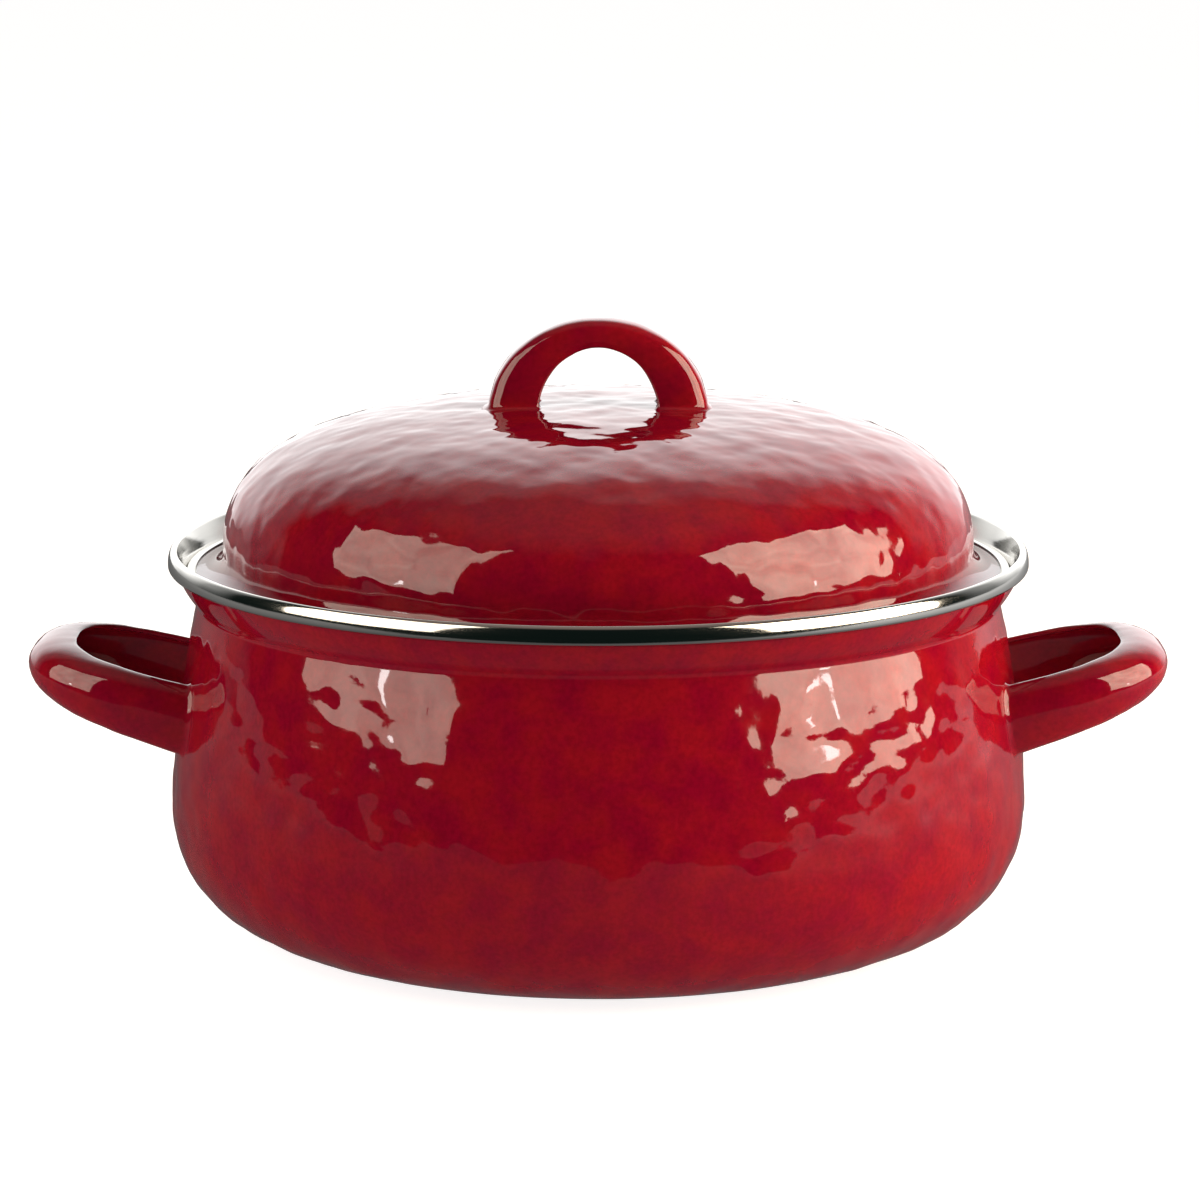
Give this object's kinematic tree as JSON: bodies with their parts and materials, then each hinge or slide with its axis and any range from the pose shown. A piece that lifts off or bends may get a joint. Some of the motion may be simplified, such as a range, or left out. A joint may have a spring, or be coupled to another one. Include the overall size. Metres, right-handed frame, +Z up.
{
  "type": "lidded casserole pot",
  "caption": "Low, wide enamelled steel cooking pot with a banded flared rim, loop side handles and a domed lift-off lid with a loop handle.",
  "frame": {"origin": "centre of the pot's base, on the surface that it stands on", "axes": "+Z up, the side handles point along +X and -X, and the front is -Y"},
  "size_m": [0.362, 0.2728, 0.194],
  "materials": {
    "red_enamel": "glossy hammered enamel",
    "polished_steel": "polished"
  },
  "bodies": {
    "pot": {"pot_body": "red_enamel", "pot_rim_band": "polished_steel", "handle_left": "red_enamel", "handle_right": "red_enamel"},
    "lid": {"lid_body": "red_enamel", "lid_rim_band": "polished_steel", "lid_handle": "red_enamel"}
  },
  "joints": [
    {"name": "lid_lift", "type": "slide", "parent": "pot", "child": "lid", "axis": [0, 0, 1], "range_m": [0, 0.15]}
  ]
}
